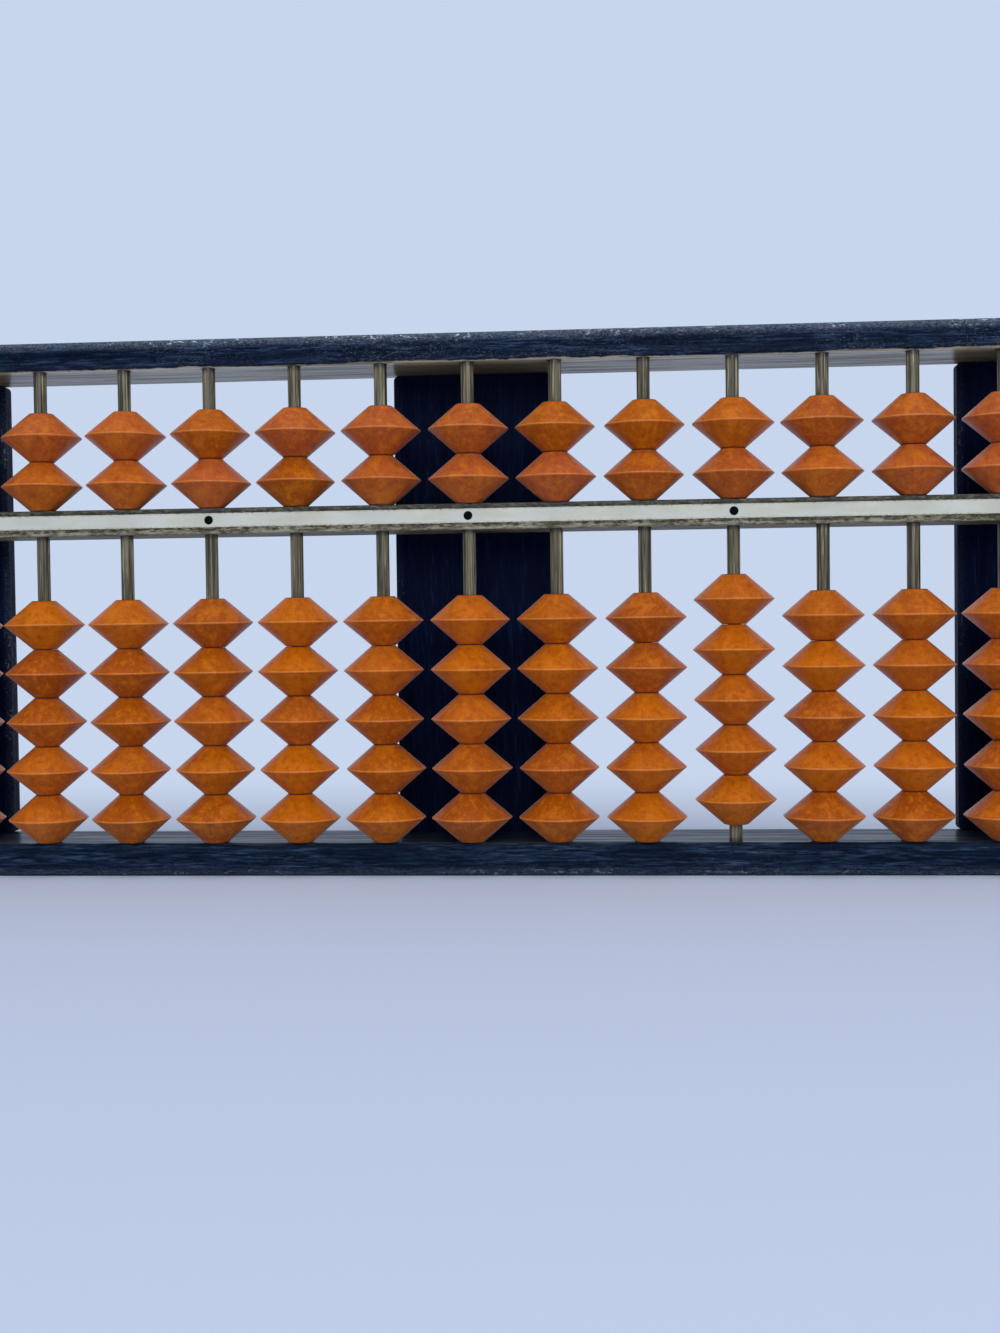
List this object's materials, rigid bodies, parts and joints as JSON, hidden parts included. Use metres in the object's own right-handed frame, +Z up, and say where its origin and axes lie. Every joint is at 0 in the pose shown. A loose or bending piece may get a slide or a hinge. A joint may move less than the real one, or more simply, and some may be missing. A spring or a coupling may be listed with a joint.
{
  "type": "abacus",
  "caption": "Wooden frame with a dividing beam, vertical rods through it and double-cone beads that slide above and below the beam; back boards keep the frame square.",
  "frame": {"origin": "centre of the underside, midway between the beads' front ridges and the frame's back, on the surface that the abacus stands on", "axes": "+X along the rails to the user's right, +Y from the front to the back boards, +Z up the rods, from the bottom rail to the top rail"},
  "size_m": [0.3178, 0.0306, 0.124],
  "materials": {
    "black_wood": "dark stained wood, worn satin",
    "beam_wood": "worn stained wood, partly rubbed bare",
    "bead_wood": "orange dyed hardwood, satin from handling",
    "bamboo": "bare bamboo, polished by the beads",
    "pin_wood": "dark stained dowel",
    "strip_ivory": "aged ivory-white sheet, slightly dirty",
    "dot_black": "black filled dot"
  },
  "bodies": {
    "frame": {"bottom_rail": "black_wood", "top_rail": "black_wood", "left_end": "black_wood", "right_end": "black_wood", "corner_pins": "pin_wood", "left_board": "black_wood", "centre_board": "black_wood", "right_board": "black_wood", "beam": "beam_wood", "beam_strip": "strip_ivory", "unit_dots": "dot_black", "rods": "bamboo"},
    "lower_beads_1": {"lower_beads_1": "bead_wood"},
    "lower_beads_2": {"lower_beads_2": "bead_wood"},
    "lower_beads_3": {"lower_beads_3": "bead_wood"},
    "lower_beads_4": {"lower_beads_4": "bead_wood"},
    "lower_beads_5": {"lower_beads_5": "bead_wood"},
    "lower_beads_6": {"lower_beads_6": "bead_wood"},
    "lower_beads_7": {"lower_beads_7": "bead_wood"},
    "lower_beads_8": {"lower_beads_8": "bead_wood"},
    "lower_beads_9": {"lower_beads_9": "bead_wood"},
    "lower_beads_10": {"lower_beads_10": "bead_wood"},
    "lower_beads_11": {"lower_beads_11": "bead_wood"},
    "lower_beads_12": {"lower_beads_12": "bead_wood"},
    "lower_beads_13": {"lower_beads_13": "bead_wood"},
    "lower_beads_14": {"lower_beads_14": "bead_wood"},
    "lower_beads_15": {"lower_beads_15": "bead_wood"},
    "upper_bead_1_1": {"upper_bead_1_1": "bead_wood"},
    "upper_bead_1_2": {"upper_bead_1_2": "bead_wood"},
    "upper_bead_2_1": {"upper_bead_2_1": "bead_wood"},
    "upper_bead_2_2": {"upper_bead_2_2": "bead_wood"},
    "upper_bead_3_1": {"upper_bead_3_1": "bead_wood"},
    "upper_bead_3_2": {"upper_bead_3_2": "bead_wood"},
    "upper_bead_4_1": {"upper_bead_4_1": "bead_wood"},
    "upper_bead_4_2": {"upper_bead_4_2": "bead_wood"},
    "upper_bead_5_1": {"upper_bead_5_1": "bead_wood"},
    "upper_bead_5_2": {"upper_bead_5_2": "bead_wood"},
    "upper_bead_6_1": {"upper_bead_6_1": "bead_wood"},
    "upper_bead_6_2": {"upper_bead_6_2": "bead_wood"},
    "upper_bead_7_1": {"upper_bead_7_1": "bead_wood"},
    "upper_bead_7_2": {"upper_bead_7_2": "bead_wood"},
    "upper_bead_8_1": {"upper_bead_8_1": "bead_wood"},
    "upper_bead_8_2": {"upper_bead_8_2": "bead_wood"},
    "upper_bead_9_1": {"upper_bead_9_1": "bead_wood"},
    "upper_bead_9_2": {"upper_bead_9_2": "bead_wood"},
    "upper_bead_10_1": {"upper_bead_10_1": "bead_wood"},
    "upper_bead_10_2": {"upper_bead_10_2": "bead_wood"},
    "upper_bead_11_1": {"upper_bead_11_1": "bead_wood"},
    "upper_bead_11_2": {"upper_bead_11_2": "bead_wood"},
    "upper_bead_12_1": {"upper_bead_12_1": "bead_wood"},
    "upper_bead_12_2": {"upper_bead_12_2": "bead_wood"},
    "upper_bead_13_1": {"upper_bead_13_1": "bead_wood"},
    "upper_bead_13_2": {"upper_bead_13_2": "bead_wood"},
    "upper_bead_14_1": {"upper_bead_14_1": "bead_wood"},
    "upper_bead_14_2": {"upper_bead_14_2": "bead_wood"},
    "upper_bead_15_1": {"upper_bead_15_1": "bead_wood"},
    "upper_bead_15_2": {"upper_bead_15_2": "bead_wood"}
  },
  "joints": [
    {"name": "lower_slide_1", "type": "slide", "parent": "frame", "child": "lower_beads_1", "axis": [0, 0, 1], "range_m": [0, 0.0148]},
    {"name": "lower_slide_2", "type": "slide", "parent": "frame", "child": "lower_beads_2", "axis": [0, 0, 1], "range_m": [0, 0.0148]},
    {"name": "lower_slide_3", "type": "slide", "parent": "frame", "child": "lower_beads_3", "axis": [0, 0, 1], "range_m": [0, 0.0148]},
    {"name": "lower_slide_4", "type": "slide", "parent": "frame", "child": "lower_beads_4", "axis": [0, 0, 1], "range_m": [0, 0.0148]},
    {"name": "lower_slide_5", "type": "slide", "parent": "frame", "child": "lower_beads_5", "axis": [0, 0, 1], "range_m": [0, 0.0148]},
    {"name": "lower_slide_6", "type": "slide", "parent": "frame", "child": "lower_beads_6", "axis": [0, 0, 1], "range_m": [0, 0.0148]},
    {"name": "lower_slide_7", "type": "slide", "parent": "frame", "child": "lower_beads_7", "axis": [0, 0, 1], "range_m": [0, 0.0148]},
    {"name": "lower_slide_8", "type": "slide", "parent": "frame", "child": "lower_beads_8", "axis": [0, 0, 1], "range_m": [0, 0.0148]},
    {"name": "lower_slide_9", "type": "slide", "parent": "frame", "child": "lower_beads_9", "axis": [0, 0, 1], "range_m": [0, 0.0148]},
    {"name": "lower_slide_10", "type": "slide", "parent": "frame", "child": "lower_beads_10", "axis": [0, 0, 1], "range_m": [0, 0.0148]},
    {"name": "lower_slide_11", "type": "slide", "parent": "frame", "child": "lower_beads_11", "axis": [0, 0, 1], "range_m": [-0.0039, 0.0109]},
    {"name": "lower_slide_12", "type": "slide", "parent": "frame", "child": "lower_beads_12", "axis": [0, 0, 1], "range_m": [0, 0.0148]},
    {"name": "lower_slide_13", "type": "slide", "parent": "frame", "child": "lower_beads_13", "axis": [0, 0, 1], "range_m": [0, 0.0148]},
    {"name": "lower_slide_14", "type": "slide", "parent": "frame", "child": "lower_beads_14", "axis": [0, 0, 1], "range_m": [0, 0.0148]},
    {"name": "lower_slide_15", "type": "slide", "parent": "frame", "child": "lower_beads_15", "axis": [0, 0, 1], "range_m": [0, 0.0148]},
    {"name": "upper_slide_1_1", "type": "slide", "parent": "frame", "child": "upper_bead_1_1", "axis": [0, 0, 1], "range_m": [0, 0.0095]},
    {"name": "upper_slide_1_2", "type": "slide", "parent": "upper_bead_1_1", "child": "upper_bead_1_2", "axis": [0, 0, -1], "range_m": [-0.0095, 0]},
    {"name": "upper_slide_2_1", "type": "slide", "parent": "frame", "child": "upper_bead_2_1", "axis": [0, 0, 1], "range_m": [0, 0.0095]},
    {"name": "upper_slide_2_2", "type": "slide", "parent": "upper_bead_2_1", "child": "upper_bead_2_2", "axis": [0, 0, -1], "range_m": [-0.0095, 0]},
    {"name": "upper_slide_3_1", "type": "slide", "parent": "frame", "child": "upper_bead_3_1", "axis": [0, 0, 1], "range_m": [0, 0.0095]},
    {"name": "upper_slide_3_2", "type": "slide", "parent": "upper_bead_3_1", "child": "upper_bead_3_2", "axis": [0, 0, -1], "range_m": [-0.0095, 0]},
    {"name": "upper_slide_4_1", "type": "slide", "parent": "frame", "child": "upper_bead_4_1", "axis": [0, 0, 1], "range_m": [0, 0.0095]},
    {"name": "upper_slide_4_2", "type": "slide", "parent": "upper_bead_4_1", "child": "upper_bead_4_2", "axis": [0, 0, -1], "range_m": [-0.0095, 0]},
    {"name": "upper_slide_5_1", "type": "slide", "parent": "frame", "child": "upper_bead_5_1", "axis": [0, 0, 1], "range_m": [0, 0.0095]},
    {"name": "upper_slide_5_2", "type": "slide", "parent": "upper_bead_5_1", "child": "upper_bead_5_2", "axis": [0, 0, -1], "range_m": [-0.0095, 0]},
    {"name": "upper_slide_6_1", "type": "slide", "parent": "frame", "child": "upper_bead_6_1", "axis": [0, 0, 1], "range_m": [0, 0.0095]},
    {"name": "upper_slide_6_2", "type": "slide", "parent": "upper_bead_6_1", "child": "upper_bead_6_2", "axis": [0, 0, -1], "range_m": [-0.0095, 0]},
    {"name": "upper_slide_7_1", "type": "slide", "parent": "frame", "child": "upper_bead_7_1", "axis": [0, 0, 1], "range_m": [0, 0.0095]},
    {"name": "upper_slide_7_2", "type": "slide", "parent": "upper_bead_7_1", "child": "upper_bead_7_2", "axis": [0, 0, -1], "range_m": [-0.0095, 0]},
    {"name": "upper_slide_8_1", "type": "slide", "parent": "frame", "child": "upper_bead_8_1", "axis": [0, 0, 1], "range_m": [0, 0.0095]},
    {"name": "upper_slide_8_2", "type": "slide", "parent": "upper_bead_8_1", "child": "upper_bead_8_2", "axis": [0, 0, -1], "range_m": [-0.0095, 0]},
    {"name": "upper_slide_9_1", "type": "slide", "parent": "frame", "child": "upper_bead_9_1", "axis": [0, 0, 1], "range_m": [0, 0.0095]},
    {"name": "upper_slide_9_2", "type": "slide", "parent": "upper_bead_9_1", "child": "upper_bead_9_2", "axis": [0, 0, -1], "range_m": [-0.0095, 0]},
    {"name": "upper_slide_10_1", "type": "slide", "parent": "frame", "child": "upper_bead_10_1", "axis": [0, 0, 1], "range_m": [0, 0.0095]},
    {"name": "upper_slide_10_2", "type": "slide", "parent": "upper_bead_10_1", "child": "upper_bead_10_2", "axis": [0, 0, -1], "range_m": [-0.0095, 0]},
    {"name": "upper_slide_11_1", "type": "slide", "parent": "frame", "child": "upper_bead_11_1", "axis": [0, 0, 1], "range_m": [0, 0.0095]},
    {"name": "upper_slide_11_2", "type": "slide", "parent": "upper_bead_11_1", "child": "upper_bead_11_2", "axis": [0, 0, -1], "range_m": [-0.0095, 0]},
    {"name": "upper_slide_12_1", "type": "slide", "parent": "frame", "child": "upper_bead_12_1", "axis": [0, 0, 1], "range_m": [0, 0.0095]},
    {"name": "upper_slide_12_2", "type": "slide", "parent": "upper_bead_12_1", "child": "upper_bead_12_2", "axis": [0, 0, -1], "range_m": [-0.0095, 0]},
    {"name": "upper_slide_13_1", "type": "slide", "parent": "frame", "child": "upper_bead_13_1", "axis": [0, 0, 1], "range_m": [0, 0.0095]},
    {"name": "upper_slide_13_2", "type": "slide", "parent": "upper_bead_13_1", "child": "upper_bead_13_2", "axis": [0, 0, -1], "range_m": [-0.0095, 0]},
    {"name": "upper_slide_14_1", "type": "slide", "parent": "frame", "child": "upper_bead_14_1", "axis": [0, 0, 1], "range_m": [0, 0.0095]},
    {"name": "upper_slide_14_2", "type": "slide", "parent": "upper_bead_14_1", "child": "upper_bead_14_2", "axis": [0, 0, -1], "range_m": [-0.0095, 0]},
    {"name": "upper_slide_15_1", "type": "slide", "parent": "frame", "child": "upper_bead_15_1", "axis": [0, 0, 1], "range_m": [0, 0.0095]},
    {"name": "upper_slide_15_2", "type": "slide", "parent": "upper_bead_15_1", "child": "upper_bead_15_2", "axis": [0, 0, -1], "range_m": [-0.0095, 0]}
  ]
}
